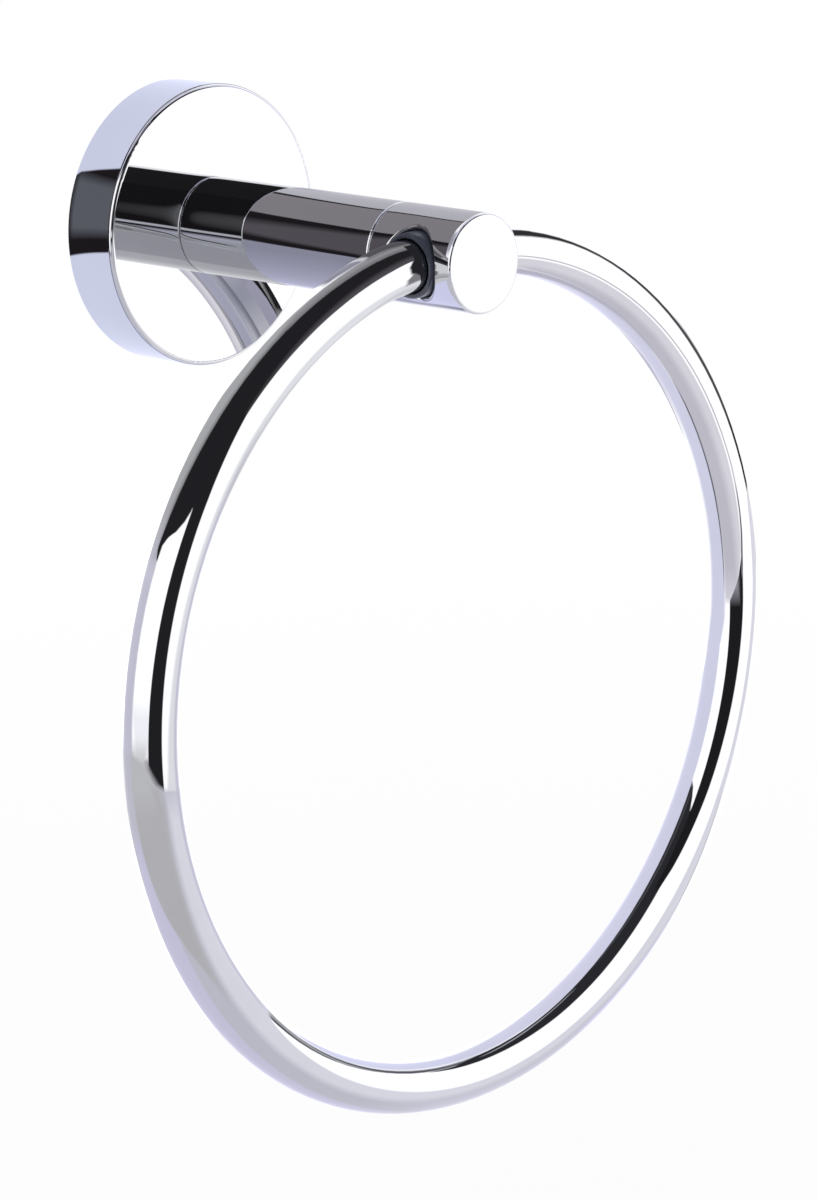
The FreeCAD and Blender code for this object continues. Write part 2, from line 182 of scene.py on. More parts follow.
def chromeFinish(name, edges=()):
    # Polishing rounds the metal off near its joints and holes, so reflections bend there. Each edge is
    # a function that gives the distance from it.
    look = {
        "colour": (0.55, 0.555, 0.57, 1), "duller": (0.53, 0.535, 0.55, 1), "clouds": 60,
        "cloudEdge": (0.4, 0.7), "roughness": 0.012, "rougher": 0.015, "roughEdge": (0.5, 0.8),
        "waves": 45, "waveDepth": 0.000003, "edgeDepth": 0.0001, "edgeWidth": 0.0015,
    }
    material, shader = newMaterial(name)
    place = shader.place()
    cloudy = shader.noise(place, look["clouds"], 3)
    height = look["waveDepth"] * shader.noise(place, look["waves"], 1)
    x, y, z = shader.split(place)
    for edge in edges:
        away = edge(x, y, z) * (-1 / look["edgeWidth"])
        height = height - look["edgeDepth"] * away.math("EXPONENT", away)
    shader.principled({
        "Base Color": shader.mix(cloudy.ramp(*look["cloudEdge"]), look["colour"], look["duller"]),
        "Metallic": 1,
        "Roughness": look["roughness"] + look["rougher"] * cloudy.ramp(*look["roughEdge"]),
        "Normal": shader.bump(height, 1, 1),
    })
    return material


def plasticFinish():
    look = {
        "colour": (0.038, 0.042, 0.065, 1), "paler": (0.048, 0.053, 0.078, 1), "clouds": 120,
        "roughness": 0.22, "rougher": 0.1, "grain": 3000, "grainStrength": 0.05, "grainDepth": 0.00001,
    }
    material, shader = newMaterial("bushPlastic")
    place = shader.place()
    cloudy = shader.noise(place, look["clouds"], 3)
    grain = shader.noise(place, look["grain"])
    shader.principled({
        "Base Color": shader.mix(cloudy, look["colour"], look["paler"]),
        "Roughness": look["roughness"] + look["rougher"] * cloudy,
        "Normal": shader.bump(grain, look["grainStrength"], look["grainDepth"]),
    })
    return material


def castFinish():
    look = {
        "colour": (0.36, 0.37, 0.38, 1), "darker": (0.27, 0.28, 0.29, 1), "clouds": 120,
        "cloudEdge": (0.35, 0.7), "roughness": 0.42, "rougher": 0.15, "grain": 1800,
        "grainStrength": 0.35, "grainDepth": 0.00006,
    }
    material, shader = newMaterial("castMetal")
    place = shader.place()
    cloudy = shader.noise(place, look["clouds"], 4)
    grain = shader.noise(place, look["grain"], 3, 0.6)
    shader.principled({
        "Base Color": shader.mix(cloudy.ramp(*look["cloudEdge"]), look["colour"], look["darker"]),
        "Metallic": 1,
        "Roughness": look["roughness"] + look["rougher"] * grain,
        "Normal": shader.bump(grain, look["grainStrength"], look["grainDepth"]),
    })
    return material


def zincFinish():
    look = {
        "colour": (0.5, 0.5, 0.47, 1), "bluish": (0.42, 0.45, 0.5, 1), "clouds": 250,
        "cloudEdge": (0.4, 0.65), "roughness": 0.24, "rougher": 0.12, "grain": 900,
    }
    material, shader = newMaterial("zincPlated")
    place = shader.place()
    cloudy = shader.noise(place, look["clouds"], 3)
    shader.principled({
        "Base Color": shader.mix(cloudy.ramp(*look["cloudEdge"]), look["colour"], look["bluish"]),
        "Metallic": 1,
        "Roughness": look["roughness"] + look["rougher"] * shader.noise(place, look["grain"], 3),
    })
    return material


def fromPlane(place):  # the distance from a level across the post's axis
    return lambda x, y, z: (y - place).size()


def fromHole(place, radius):  # the distance from the rim of a hole along X
    return lambda x, y, z: ((y - place) * (y - place) + z * z).root() - radius


# the post's two ends, the head's front, and the hole that the ring goes through
postBox, headBox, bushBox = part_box("post"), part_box("head"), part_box("bush_left")
seamEdge = fromPlane(postBox[0].y)
holeEdge = fromHole((bushBox[0].y + bushBox[1].y) / 2, (bushBox[1].z - bushBox[0].z) / 2)
finishes = {
    "polished_chrome": chromeFinish("chrome"),
    "bush_plastic": plasticFinish(),
    "cast_plate": castFinish(),
    "steel_fixings": zincFinish(),
}
ownFinishes = {
    "post": chromeFinish("postChrome", [seamEdge, fromPlane(postBox[1].y)]),
    "head": chromeFinish("headChrome", [seamEdge, fromPlane(headBox[0].y), holeEdge]),
}
for part in frame["record"]["subparts"]:
    name = part["node"]
    for materialSlot in frame["nodes"][name].material_slots:
        materialSlot.material = ownFinishes.get(name, finishes[part["material_slot"]])
print("finishes:", ", ".join(sorted(finishes)))


# Studio

# Angles are in degrees. A turn of 0 is straight behind the wall, 90 is right, -90 is left and 180 is in
# front. The light is what the metal sees there, and 1 is white paper. A lean slants the edges by turn, by
# degrees for each degree of rise. A tilt slants the edges by rise, by degrees for each degree of turn past
# the zone's start. Edges are soft by turn and rise, and each zone lies over those above it.
white = (1.9, 1.9, 1.9)
black = (0.022, 0.02, 0.022)
studioZones = [
    {"zone": "floor, right", "turn": (56, far), "rise": (-90, -14), "soft": (12, 5),
     "light": (1.12, 1.1, 1.16)},
    {"zone": "lit floor, right", "turn": (58, 150), "rise": (-45, -14), "soft": (10, 6),
     "light": (1.5, 1.5, 1.52)},
    {"zone": "floor, back", "turn": (-14, 44), "rise": (-90, -16), "soft": (14, 7),
     "light": (1.15, 1.15, 1.35)},
    {"zone": "above the floor", "turn": (-far, far), "rise": (-15, 100), "soft": (1, 3),
     "light": (1.05, 1.05, 1.25)},
    {"zone": "dull wall", "turn": (-50, -8), "rise": (16, 52), "soft": (12, 10),
     "light": (0.55, 0.55, 0.6)},
    {"zone": "bright wall", "turn": (-15, 105), "rise": (-15, 55), "soft": (7, 5),
     "light": (1.8, 1.8, 1.8)},
    {"zone": "left black", "turn": (-far, -103), "rise": (-17, 62), "tilt": (0.03, -0.03), "soft": (2, 2),
     "light": black},
    {"zone": "streak in it", "turn": (-far, -105), "rise": (59, 63), "soft": (3, 3),
     "light": (0.12, 0.12, 0.13)},
    {"zone": "over the streak", "turn": (-far, -128), "rise": (63, 75), "soft": (8, 3),
     "light": (0.04, 0.04, 0.045)},
    {"zone": "grey beside the left box", "turn": (-131, -60), "lean": (-0.38, 0), "rise": (-16, 35),
     "soft": (2.5, 2), "light": (0.27, 0.27, 0.28)},
    {"zone": "left box", "turn": (-113, -45), "lean": (-0.43, -0.2), "rise": (-14, 37.5),
     "tilt": (0, -0.03), "soft": (4, 1.5), "light": white},
    {"zone": "right black", "turn": (127, far), "lean": (0.1, 0), "rise": (-17, 38), "tilt": (0, 0.65),
     "soft": (1.5, 3), "light": (0.03, 0.028, 0.03)},
    {"zone": "right front box", "turn": (124, 177), "lean": (0.1, 0), "rise": (-18, 9), "tilt": (0, 0.43),
     "soft": (1, 1.5), "light": white},
    {"zone": "right of the gap", "turn": (177, far), "rise": (-16, 30), "soft": (1, 2),
     "light": (0.4, 0.4, 0.42)},
    {"zone": "left of the gap", "turn": (-far, -170), "lean": (0, -0.29), "rise": (-16, 30),
     "soft": (3, 2), "light": (0.34, 0.34, 0.36)},
    {"zone": "floor's lit edge", "turn": (-148, -120), "rise": (-5, -1.5), "soft": (4, 0.7),
     "light": (1.2, 1.2, 1.3)},
]
# The sleeve hugs the ring's tube and glows with painted reflections, painted light and painted shade,
# which the tube shows stretch by stretch. Its turn goes round the ring from the top to the left, and its
# rise
# goes round the tube: 0 at the back, 90 outside, 180 in front and 270 inside. A band is a row of stations,
# each with its turn and the rises between which the painted light lies. Its edges are soft by turn, low
# rise and high rise, and a softness of 0 by rise leaves that edge out.
paintedReflectionBands = [
    # the left arc, from the post down to the floor's edge
    {"zone": "grey slope", "light": (0.68, 0.68, 0.69), "soft": (2.5, 3, 4), "band": [
        (4, 88, 125), (10, 92, 122), (18, 85, 115), (25, 77, 108), (33, 67, 103), (38, 55, 100),
        (42, 36, 97), (50, 32, 90), (66, 32, 85)]},
    {"zone": "its dark foot", "light": (0.3, 0.3, 0.31), "soft": (1, 7, 4), "band": [
        (4, 100, 125), (12, 98, 122), (20, 92, 115), (26, 90, 108), (32, 92, 104), (40, 89, 98),
        (50, 80, 90), (63, 68, 78)]},
    {"zone": "lavender, outside", "light": (0.95, 0.93, 1.1), "soft": (5, 4, 3), "band": [
        (62, 36, 84), (84, 36, 84), (93, 10, 84)]},
    {"zone": "black", "light": (0.026, 0.024, 0.028), "soft": (0.7, 1.5, 1.2), "band": [
        (4, 120, 155), (12, 116, 157.5), (22, 107.5, 157), (30, 101, 155), (37, 96, 152), (42.5, 92, 150),
        (46, 89.5, 153), (50, 86, 156.5), (55, 81, 160), (60, 75, 161.5), (62.5, 72, 162),
        (64, 80, 162.2), (65, 131, 162.4), (75, 131, 163.8), (82, 130, 164.8), (88, 129, 165.8),
        (88.5, 118, 166), (89.5, 122, 166.2), (91, 135, 166.5), (92, 147, 166.7), (93, 158, 167),
        (93.4, 166, 167)]},
    {"zone": "brown edge", "light": (0.13, 0.12, 0.135), "soft": (1, 6, 1.2), "band": [
        (4, 144, 155.3), (12, 145, 157.8), (22, 146, 157.3), (30, 147, 155.3), (42, 148.5, 150)]},
    {"zone": "box in the black", "light": white, "soft": (0.5, 2, 1), "band": [
        (57, 131, 132), (58.5, 125, 132.3), (60, 112, 132.5), (60.8, 98, 132.5), (62, 86, 132.6),
        (64, 84, 132.5), (75, 84, 131.7), (81, 86, 130.7), (85, 100, 130), (88, 118, 129.5)]},
    {"zone": "its side", "light": (1.62, 1.62, 1.68), "soft": (1.2, 3, 1), "band": [
        (82, 84, 130.4), (84, 88, 130.2), (88.4, 100, 129.6)]},
    # inside the left arc
    {"zone": "pale inside", "light": (1.3, 1.3, 1.34), "soft": (1, 5, 0), "band": [
        (4, 212, far), (20, 207, far), (30, 204.5, far), (40, 202.5, far), (50, 199.5, far),
        (60, 195.5, far), (70, 191.5, far), (80, 188.5, far), (90, 182, far), (94, 172, far),
        (134, 172, far)]},
    # the floor
    {"zone": "floor", "light": (0.88, 0.88, 0.98), "soft": (0.5, 0, 12), "band": [
        (87.8, 0, 84), (88.5, 0, 118), (91, 0, 135), (92, 0, 147), (93, 0, 190), (96, 0, far),
        (far, 0, far)]},
    {"zone": "floor, dull", "light": (0.78, 0.765, 0.79), "soft": (4, 3, 12), "band": [
        (89, 82, 120), (92, 81, 150), (95, 81, 168), (100, 84, 168), (104, 90, 168), (108, 100, 167),
        (111, 110, 166), (113, 120, 164), (118, 140, 162), (122, 150, 158)]},
    {"zone": "floor, dull, left", "light": (0.87, 0.87, 0.88), "soft": (2, 4, 8), "band": [
        (88, 84, 118), (91, 83, 132), (94, 84, 140)]},
    {"zone": "floor, lavender", "light": (0.97, 0.95, 1.19), "soft": (2, 3, 3), "band": [
        (99, 56, 82), (104, 57, 90), (108, 57, 100), (113, 57, 118), (135, 45, 118), (158, 45, 116),
        (166, 60, 108)]},
    {"zone": "outer edge", "light": white, "soft": (2, 0, 5), "band": [
        (98, 0, 24), (102, 0, 44), (108, 0, 53), (120, 0, 52), (128, 0, 44), (134, 0, 30)]},
    {"zone": "floor, bottom", "light": (1.0, 0.99, 1.13), "soft": (8, 0, 8), "band": [
        (164, 0, 150), (far, 0, 150)]},
    {"zone": "floor, bottom, lavender", "light": (1.04, 1.02, 1.33), "soft": (3, 0, 8), "band": [
        (201, 0, 138), (214, 0, 126), (222, 0, 116)]},
    {"zone": "floor, front", "light": (1.2, 1.2, 1.3), "soft": (3, 9, 0), "band": [
        (94, 174, far), (105, 172, far), (120, 168, far), (135, 163, far), (150, 158, far),
        (165, 154, far), (180, 152, far), (205, 152, far), (225, 140, far), (262, 128, far),
        (far, 128, far)]},
    {"zone": "outer edge, right", "light": white, "soft": (1, 0, 4), "band": [
        (220, 0, 100), (224, 0, 118), (230, 0, 135), (235, 0, 147), (240, 0, 156), (250, 0, 159),
        (258, 0, 155), (263, 0, 148), (268, 0, 138), (271, 0, 130), (273, 0, 112)]},
    {"zone": "outer edge's grey", "light": (0.93, 0.93, 0.92), "soft": (2, 3, 4), "band": [
        (223, 128, 134), (228, 135, 146), (234, 148, 154), (239, 157, 160)]},
    {"zone": "grey column", "light": (1.04, 1.02, 1.08), "soft": (1, 0, 8), "band": [
        (272.6, 0, 130), (283, 0, 134)]},
    {"zone": "white front", "light": white, "soft": (0.6, 2, 0), "band": [
        (133.6, 216, far), (136, 208, far), (140, 200, far), (145, 194, far), (150, 189, far),
        (160, 183, far), (170, 178, far), (180, 175, far), (200, 177, far), (220, 179, far),
        (240, 178, far), (250, 175, far), (258, 172, far), (263, 168, far), (270, 160, far),
        (275, 157, far), (280, 150, far), (282.6, 141, far), (283.4, 0, far), (far, 0, far)]},
    # inside the left arc, on the pale light
    {"zone": "grey inside", "light": (0.91, 0.9, 1.08), "soft": (4, 6, 5), "band": [
        (46, 216, 240), (50, 214, 236), (60, 211, 228), (70, 210, 224), (80, 209, 224), (90, 210, 226),
        (96, 212, 230), (105, 219, 238), (115, 226, 244), (125, 230, 246), (131, 228, 244)]},
    {"zone": "grey corner", "light": (0.94, 0.94, 0.98), "soft": (3, 9, 8), "band": [
        (4, 230, far), (10, 230, far), (20, 240, far), (28, 238, far), (35, 230, far), (42, 224, 262),
        (48, 220, 250), (54, 216, 240)]},
    {"zone": "inner edge", "light": (1.66, 1.66, 1.78), "soft": (3, 5, 0), "band": [
        (52, 250, far), (60, 240, far), (66, 232, far), (72, 229, far), (80, 232, far), (90, 238, far),
        (100, 246, far), (110, 254, far), (120, 262, far), (127, 252, far), (132, 244, far),
        (136, 241, far)]},
    # the bottom and the right arc
    {"zone": "lavender, bottom", "light": (1.12, 1.12, 1.42), "soft": (3, 4, 8), "band": [
        (141, 243, 258), (150, 241, 272), (160, 243, 284), (170, 246, 282), (180, 249, 282),
        (186, 252, 290)]},
    {"zone": "lavender, right", "light": (1.12, 1.12, 1.36), "soft": (4, 3, 8), "band": [
        (178, 250, 280), (190, 252, 305), (200, 254, 330), (208, 254, far), (252, 254, far),
        (258, 252, 330), (266, 252, 306), (280, 250, 296), (300, 250, 294), (318, 250, 300),
        (324, 250, far), (356, 250, far)]},
    {"zone": "dark line's grey", "light": (0.62, 0.62, 0.66), "soft": (0.6, 1, 1.5), "band": [
        (133.3, 217.5, 241), (137, 218.5, 240), (141, 220, 239), (150, 224.5, 240), (160, 230, 240.5),
        (166, 231.5, 242), (171, 233, 243), (180, 238, 247)]},
    {"zone": "dark line", "light": (0.15, 0.15, 0.16), "soft": (0.8, 1.5, 1.5), "band": [
        (133.8, 218.5, 227), (137, 220, 227), (141, 221.5, 226.5), (149, 224, 227)]},
    {"zone": "dark line, lower", "light": (0.17, 0.17, 0.2), "soft": (3, 1.2, 1.2), "band": [
        (144, 233, 236.5), (150, 232.5, 237), (158, 232, 238.5), (166, 232, 239), (172, 235, 240.5),
        (181, 239, 244)]},
    {"zone": "black, bottom", "light": (0.038, 0.038, 0.045), "soft": (1, 1.2, 1.2), "band": [
        (170, 230, 232), (175, 227.5, 235), (180, 226.5, 246), (190, 225, 250), (197, 224, 253.5),
        (207, 225, 259), (213, 226.5, 262), (220, 228, 264.5), (224, 228.5, 265), (240.3, 228.5, 265)]},
    {"zone": "light line in it", "light": (0.6, 0.6, 0.66), "soft": (1.5, 1, 1), "band": [
        (181.5, 237, 239), (185, 238.5, 241.5), (190, 241.5, 245), (195, 245, 247.5),
        (201, 248.5, 250.5)]},
    {"zone": "dull line in it", "light": (0.1, 0.1, 0.11), "soft": (2, 1, 1), "band": [
        (208, 255, 258), (215, 255.5, 260.5), (238.5, 255.5, 260.5)]},
    {"zone": "black, right", "light": black, "soft": (0.5, 1.2, 0.8), "band": [
        (223, 229.5, 241), (227, 222.5, 241), (230, 219.5, 241), (240, 212, 240), (250, 207, 238.7),
        (260, 202, 237.3), (266, 199.5, 237.8), (268.2, 199, 238), (269, 199, 229), (270.5, 198.8, 218),
        (271.7, 198.6, 211), (273.7, 198, 203), (275.5, 195.5, 197)]},
    {"zone": "white patch", "light": white, "soft": (0.5, 1, 1.2), "band": [
        (236.3, 240.5, 243), (238, 240.2, 249), (239.5, 240, 256), (240.5, 239.8, 265.5),
        (250, 238.6, 264), (261, 237.5, 262), (263.5, 237.3, 256), (266, 237.5, 248), (267.6, 238, 240)]},
    {"zone": "floor, right arc", "light": (1.2, 1.17, 1.25), "soft": (0.6, 1.5, 2), "band": [
        (267.8, 238, 249), (268.7, 231, 250), (270.2, 221, 250), (271.5, 213, 250), (273.5, 205, 250),
        (276, 199, 250), (278, 196.5, 249.5), (281, 194, 249), (285, 191.5, 248), (290, 190, 248),
        (300, 190, 249), (310, 191.5, 249), (320, 194.5, 248), (330, 198, 245), (340, 203, 242),
        (356, 210, 238)]},
    {"zone": "its dull part", "light": (0.91, 0.89, 0.99), "soft": (3, 9, 2), "band": [
        (270, 216, 250), (280, 214, 250), (300, 214, 250), (315, 216, 250), (330, 224, 248),
        (345, 232, 242)]},
    {"zone": "line under it", "light": (0.2, 0.2, 0.25), "soft": (2, 1, 1), "band": [
        (271, 252.5, 254.5), (278, 250.5, 253.5), (285, 248.5, 252.5), (300, 247.7, 251.5),
        (304, 248.5, 250.5)]},
    {"zone": "grey under it", "light": (0.78, 0.76, 0.9), "soft": (3, 3, 6), "band": [
        (314, 246, 250), (320, 246, 252), (330, 247, 262), (340, 245, 275), (356, 240, 290)]},
    {"zone": "pale line", "light": (0.78, 0.77, 0.81), "soft": (0.8, 1.2, 1.2), "band": [
        (272, 198, 202), (275, 194.5, 199.5), (278, 189.5, 194), (281, 186, 190), (285, 183, 187),
        (288.5, 181.2, 185.2), (300, 181, 184.8), (305, 181.3, 185), (310, 182.8, 186.2),
        (320, 186.6, 190), (330, 190.8, 194), (340, 195.3, 198.3), (356, 201.5, 204)]},
    {"zone": "its dark start", "light": (0.2, 0.2, 0.21), "soft": (1.5, 1, 1), "band": [
        (272, 198, 202), (275, 194.5, 199.5), (278, 189.5, 194), (281, 186, 190), (284, 183.7, 187.3)]},
    {"zone": "hook's grey", "light": (0.55, 0.54, 0.56), "soft": (3, 0, 3), "band": [
        (286, 0, 100), (296, 0, 106), (301, 90, 110), (306, 100, 114), (312, 110, 118)]},
    {"zone": "hook", "light": (0.1, 0.098, 0.105), "soft": (0.7, 3, 3), "band": [
        (282.8, 50, 135.5), (289, 80, 136.5), (295, 101, 137), (300, 106, 137.5), (305, 111, 137.5),
        (310, 115, 137.5), (315, 118, 137), (320, 121.5, 137), (325, 124, 136.5), (330, 125.5, 136),
        (337, 126, 136.5), (342, 126, 141), (346, 125.5, 145), (356, 124, 149)]},
    {"zone": "hook, darkest", "light": (0.033, 0.03, 0.036), "soft": (1, 6, 3), "band": [
        (283.6, 80, 130), (289, 90, 131), (294, 104, 130)]},
    {"zone": "hook, top", "light": (0.05, 0.047, 0.053), "soft": (3, 2, 2), "band": [
        (321, 125, 134), (330, 128, 134), (340, 128, 137), (356, 127, 147)]},
    # the back of the right arc, as the rosette shows it
    {"zone": "back, inside", "light": (0.92, 0.91, 1.1), "soft": (7, 4, 0), "band": [
        (300, 296, far), (316, 296, far)]},
    {"zone": "dark line there", "light": (0.5, 0.5, 0.62), "soft": (3, 8, 2), "band": [
        (295, 312, 322), (317, 312, 322)]},
    {"zone": "back, outside", "light": (1.0, 0.98, 1.2), "soft": (4, 0, 14), "band": [
        (288, 0, 76), (312, 0, 76)]},
    {"zone": "its black edge", "light": black, "soft": (1, 3, 6), "band": [
        (299, 60, 92), (303, 54, 90), (309, 34, 84)]},
    # painted shade and painted reflection that the bush throws on the tube's start
    {"zone": "dark slope by the bush", "light": (0.5, 0.49, 0.51), "soft": (2, 6, 7), "band": [
        (3, 84, 108), (12, 86, 107), (20, 84, 102), (28, 84, 98)]},
    {"zone": "dark line by the bush", "light": (0.14, 0.135, 0.15), "soft": (0.6, 0, 8), "band": [
        (3, 0, 98), (13.3, 0, 90)]},
    {"zone": "lavender by the bush", "light": (0.45, 0.44, 0.54), "soft": (0.8, 0, 4), "band": [
        (13.6, 0, 88), (17, 0, 82), (20.5, 0, 74)]},
    {"zone": "grey by the bush", "light": (0.36, 0.35, 0.37), "soft": (0.4, 3, 3), "band": [
        (3, 184, 214), (7.5, 186, 214), (8.6, 190, 215), (9.8, 200, 216)]},
    # painted reflection: the bush's dark, shown on the tube next to it
    {"zone": "the bush's painted reflection", "light": (0.03, 0.03, 0.035), "soft": (0.3, 3, 3), "band": [
        (3, 100, 236), (7, 100, 236), (7.4, 152, 200), (8, 158, 192), (9, 170, 188)]},
]


def zoneMask(zone, turn, rise):
    turnSoft, riseSoft = zone["soft"]
    edges = []
    for place, other, start, name, slants, soft in (
        (turn, rise, 0, "turn", "lean", turnSoft),
        (rise, turn, zone["turn"][0], "rise", "tilt", riseSoft),
    ):
        for side, end, slant in zip((1, -1), zone[name], zone.get(slants, (0, 0))):
            if abs(end) < far:
                slanted = place - slant * (other - start) if slant else place
                edges.append(slanted.ramp(end - side * soft, end + side * soft))
    mask = edges[0]
    for edge in edges[1:]:
        mask = mask.least(edge)
    return mask


def bandMask(zone, turn, rise):
    band = zone["band"]
    turnSoft, lowSoft, highSoft = zone["soft"]
    mask = turn.between(band[0][0], band[-1][0], turnSoft)
    for column, soft in ((1, lowSoft), (2, -highSoft)):
        if soft:
            away = rise - turn.maker.line(turn, [(station[0], station[column]) for station in band])
            mask = mask.least(away.ramp(-soft, soft))
    return mask


def makeWorld():
    look = {"floor": (0.86, 0.86, 0.93, 1), "white": (1, 1, 1, 1), "evenly": 0.9}
    world = bpy.data.worlds.new("studio")
    bpy.context.scene.world = world
    shader = Shader(world)
    across, deep, up = shader.split(shader.add("ShaderNodeTexCoord", output="Generated"))
    turn = across.heading(deep)
    rise = up.math("ARCSINE", up) * (180 / math.pi)
    light = look["floor"]
    for zone in studioZones:
        light = shader.mix(zoneMask(zone, turn, rise), light, (*zone["light"], 1))
    # the camera sees plain white, the metal sees the zones, and all else is lit evenly
    camera, glossy, clear = shader.rays()
    evenly = shader.background(look["white"], look["evenly"])
    lit = shader.blend(glossy, evenly, shader.background(light))
    shown = shader.blend(camera.most(clear), lit, shader.background(look["white"]))
    shader.add("ShaderNodeOutputWorld", {}, {"Surface": shown})


def stageForMetal(thing, material):  # the thing shows in the metal and nowhere else
    thing.data.materials.append(material)
    bpy.context.scene.collection.objects.link(thing)
    for kind in ("camera", "diffuse", "transmission", "volume_scatter", "shadow"):
        setattr(thing, "visible_" + kind, False)


def makePaintedReflectionSleeve():
    # A thin sleeve round the ring's tube, seen only in the metal, which glows inward with painted
    # reflections, painted light and painted shade for single stretches of the tube.
    look = {"gap": 0.0014, "turn": (4, 354), "soft": 1, "sides": 32, "steps": 160}
    low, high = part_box("ring")
    tube = (high.y - low.y) / 2
    reach = (high.x - low.x) / 2 - tube
    middle = Vector((0, (low.y + high.y) / 2, low.z + tube + reach))
    shape = bmesh.new()
    side = Matrix.Translation(middle + Vector((reach, 0, 0)))
    bmesh.ops.create_circle(shape, segments=look["sides"], radius=tube + look["gap"], matrix=side)
    bmesh.ops.spin(
        shape, geom=shape.verts[:] + shape.edges[:], cent=middle, axis=(0, 1, 0), dvec=(0, 0, 0),
        angle=math.radians(360), steps=look["steps"], use_merge=True,
    )
    bmesh.ops.recalc_face_normals(shape, faces=shape.faces)
    mesh = bpy.data.meshes.new("sleeve")
    shape.to_mesh(mesh)
    shape.free()
    material, shader = newMaterial("sleeve")
    x, y, z = shader.split(shader.place())
    up = z - middle.z
    outside = (x * x + up * up).root() - reach
    turn = x.heading(-1 * up) + 180
    rise = (-1 * outside).heading(middle.y - y) + 180
    light = (*white, 1)
    for zone in paintedReflectionBands:
        light = shader.mix(bandMask(zone, turn, rise), light, (*zone["light"], 1))
    shown = turn.between(*look["turn"], look["soft"]) * shader.behind()
    shader.surface(shader.blend(shown, shader.clear(), shader.glow(light)))
    stageForMetal(bpy.data.objects.new("sleeve", mesh), material)


def past(line, x, z):  # how far a place lies past a line
    (startX, startZ), (acrossX, acrossZ) = line
    return acrossX * (x - startX) + acrossZ * (z - startZ)


def makePaintedReflectionBoard():
    # A glowing board just behind the wall's plane, seen only in the metal and painted with reflections. Its
    # inner part shows in the rosette's rim as a painted reflection with one dark window, and its outer part
    # shows along the post as a painted reflection with painted light and shade. Lengths are in metres from
    # the post's axis, and angles turn from +X to +Z. Pairs are where a soft edge starts and ends.
    look = {
        "place": 0.003, "inside": 0.0285, "middle": 0.0412, "outside": 0.112, "soft": 0.0005, "sides": 96,
        # the rim's part: the rim's painted reflection, a painted dark window with a painted grey patch in
        # it
        "rim": (1.05, 1.09, 1.35, 1), "black": (0.02, 0.017, 0.02, 1),
        "windowTop": [
            (0.0285, 161), (0.0292, 156), (0.03, 152.4), (0.0312, 149.6), (0.0355, 145.8), (0.0412, 141.6)],
        "windowSoft": 0.5, "windowFoot": (188.5, 187.5),
        "greyReflection": (0.17, 0.18, 0.21, 1), "greyReflectionTurn": (151, 178, 3), "greyReflectionReach": (0.0302, 0.0316),
        # the post's part, a painted reflection with painted light and shade, and three slanting lines in
        # it, each as a place and a way across the line
        "seamLine": ((0.018, 0.04), (0.982, -0.189)), "slopeLine": ((-0.027, 0.038), (0.69, 0.72)),
        "lowerLine": ((-0.045, -0.003), (0.316, -0.949)),
        "right": (0.73, 0.72, 0.78, 1), "grey": (0.36, 0.335, 0.365, 1), "seam": (-0.001, 0.002),
        "seamBlack": (-0.0024, 0.0022, 0.0012),
        "brown": (0.14, 0.125, 0.145, 1), "slope": (0.0008, -0.001), "slopeShade": (-0.022, -0.009),
        "cornerShade": (-0.012, -0.005), "cornerRight": (-0.02, -0.03),
        "below": (0.42, 0.42, 0.54, 1), "belowTurn": (200, 290), "belowEnd": (0.7, 0.7, 0.92, 1),
        "end": (1.05, 1.05, 1.4, 1), "endReach": (0.082, 0.088), "lower": (0.001, 0.003),
        "lowerRight": (0.05, 0.03),
        # where the board is left out, by turn and by reach
        "gapTurn": (305, 352, 8), "gapReach": (0.041, 0.042),
    }
    mesh = bpy.data.meshes.new("board")
    shape = bmesh.new()
    facing = Matrix.Translation((0, look["place"], 0)) @ Matrix.Rotation(math.radians(90), 4, "X")
    bmesh.ops.create_circle(
        shape, cap_ends=True, segments=look["sides"], radius=look["outside"], matrix=facing)
    shape.to_mesh(mesh)
    shape.free()
    material, shader = newMaterial("board")
    x, y, z = shader.split(shader.place())
    reach = (x * x + z * z).root()
    angle = (-1 * z).heading(-1 * x) + 180

    window = (angle - shader.line(reach, look["windowTop"])).ramp(-look["windowSoft"], look["windowSoft"])
    window = window.least(angle.ramp(*look["windowFoot"]))
    greyReflection = angle.between(*look["greyReflectionTurn"]) * reach.ramp(*look["greyReflectionReach"])
    rim = shader.mix(window, look["rim"], look["black"])
    rim = shader.mix(window * greyReflection, rim, look["greyReflection"])

    seam, slope, lower = (past(look[name], x, z) for name in ("seamLine", "slopeLine", "lowerLine"))
    post = shader.mix(seam.ramp(*look["seam"]), look["grey"], look["right"])
    post = shader.mix(seam.between(*look["seamBlack"]), post, look["black"])
    shade = shader.mix(slope.ramp(*look["slopeShade"]), look["brown"], look["black"])
    post = shader.mix(slope.ramp(*look["slope"]), post, shade)
    corner = lower.ramp(*look["cornerShade"]) * x.ramp(*look["cornerRight"])
    post = shader.mix(corner, post, look["black"])
    below = shader.mix(angle.ramp(*look["belowTurn"]), look["below"], look["belowEnd"])
    below = shader.mix(reach.ramp(*look["endReach"]), below, look["end"])
    post = shader.mix(lower.ramp(*look["lower"]) * x.ramp(*look["lowerRight"]), post, below)
    outer = reach.ramp(look["middle"] - look["soft"], look["middle"] + look["soft"])
    colour = shader.mix(outer, rim, post)

    # nothing in the middle, past the right bottom, or from behind
    empty = reach.ramp(look["inside"], look["inside"] - look["soft"])
    empty = empty.most(angle.between(*look["gapTurn"]) * reach.ramp(*look["gapReach"]))
    empty = empty.most(shader.behind())
    shader.surface(shader.blend(empty, shader.glow(colour), shader.clear()))
    stageForMetal(bpy.data.objects.new("board", mesh), material)


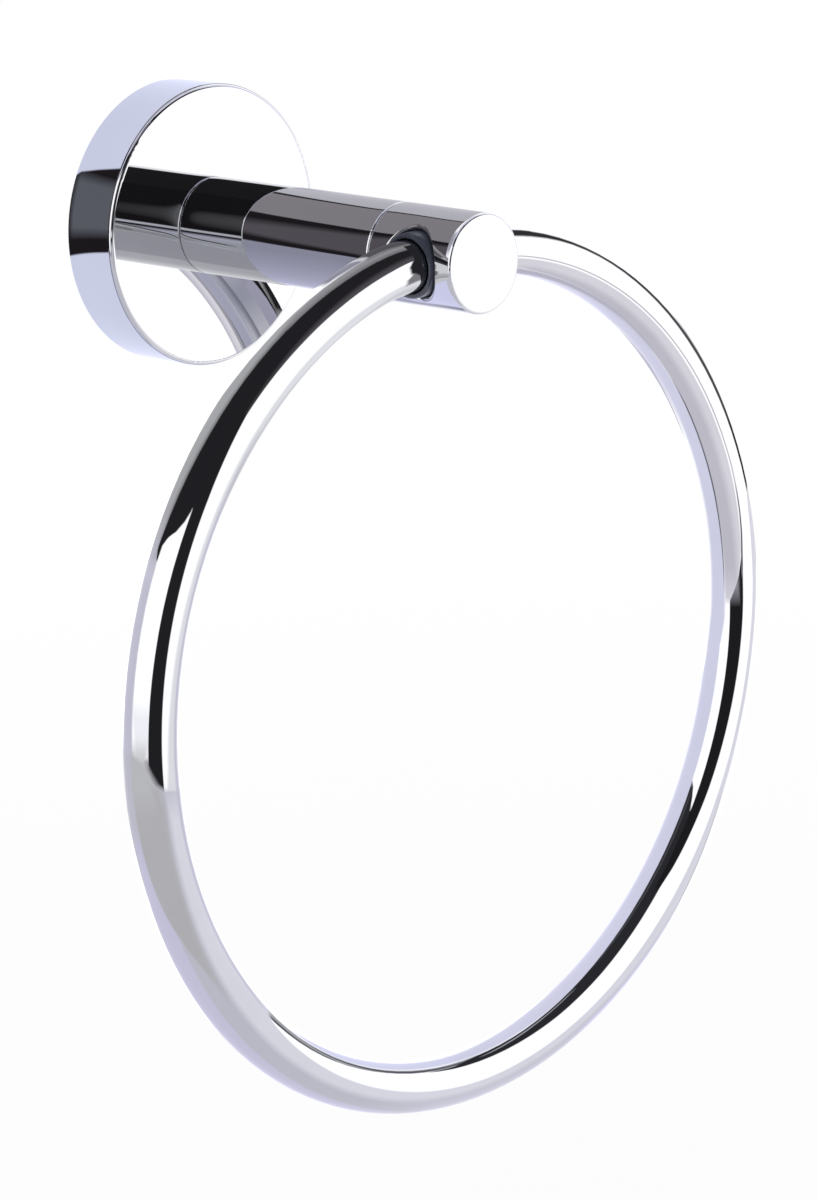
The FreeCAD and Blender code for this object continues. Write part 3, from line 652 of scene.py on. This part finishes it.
def makeFloor():
    look = {
        "drop": 0.04, "reach": 0.6, "sides": 96, "colour": (0.9, 0.9, 0.9, 1), "white": (1, 1, 1, 1),
        "glow": 0.9, "fadeFrom": 0.35,
    }
    low, high = cadBox
    bpy.ops.mesh.primitive_circle_add(vertices=look["sides"], radius=look["reach"], fill_type="NGON")
    floor = bpy.context.object
    floor.name = "floor"
    floor.location = (0, (low.y + high.y) / 2, low.z - look["drop"])
    material, shader = newMaterial("paleFloor")
    camera, glossy, clear = shader.rays()
    # the floor shows the object's shadow in the middle and fades into the white round it
    x, y, z = shader.split(shader.place())
    fade = (x * x + y * y).root().ramp(look["reach"] * look["fadeFrom"], look["reach"])
    glow = camera.most(clear) * (look["glow"] + (1 - look["glow"]) * fade)
    paint = shader.add("ShaderNodeBsdfDiffuse", {}, {"Color": look["colour"]})
    shader.surface(shader.blend(glow, paint, shader.glow(look["white"])))
    floor.data.materials.append(material)
    floor.visible_glossy = False  # the metal sees the studio's own floor


def makeCamera():
    # The camera stands left of and above the post. Angles are in degrees, and across and up are where
    # the origin lies in the picture, in metres at the object's distance.
    look = {
        "azimuth": -45.98, "elevation": 14.62, "roll": -2.18, "distance": 1.0445,
        "across": -0.04645, "up": 0.07465, "lens": 160, "sensor": 36,
    }
    azimuth, elevation, roll = (math.radians(look[name]) for name in ("azimuth", "elevation", "roll"))
    level = math.cos(elevation)
    back = Vector((math.sin(azimuth) * level, -math.cos(azimuth) * level, math.sin(elevation)))
    flat = Vector((math.cos(azimuth), math.sin(azimuth), 0))
    upright = back.cross(flat)
    right = flat * math.cos(roll) + upright * math.sin(roll)
    up = upright * math.cos(roll) - flat * math.sin(roll)
    data = bpy.data.cameras.new("camera")
    data.lens = look["lens"]
    data.sensor_width = look["sensor"]
    camera = bpy.data.objects.new("camera", data)
    bpy.context.scene.collection.objects.link(camera)
    turned = Matrix((right, up, back)).transposed().to_4x4()
    place = back * look["distance"] - right * look["across"] - up * look["up"]
    camera.matrix_world = Matrix.Translation(place) @ turned
    bpy.context.scene.camera = camera


makeWorld()
makePaintedReflectionBoard()
makePaintedReflectionSleeve()
makeFloor()
makeCamera()
bpy.context.scene.view_settings.view_transform = "Standard"
print("studio: world, board, sleeve, floor and camera")
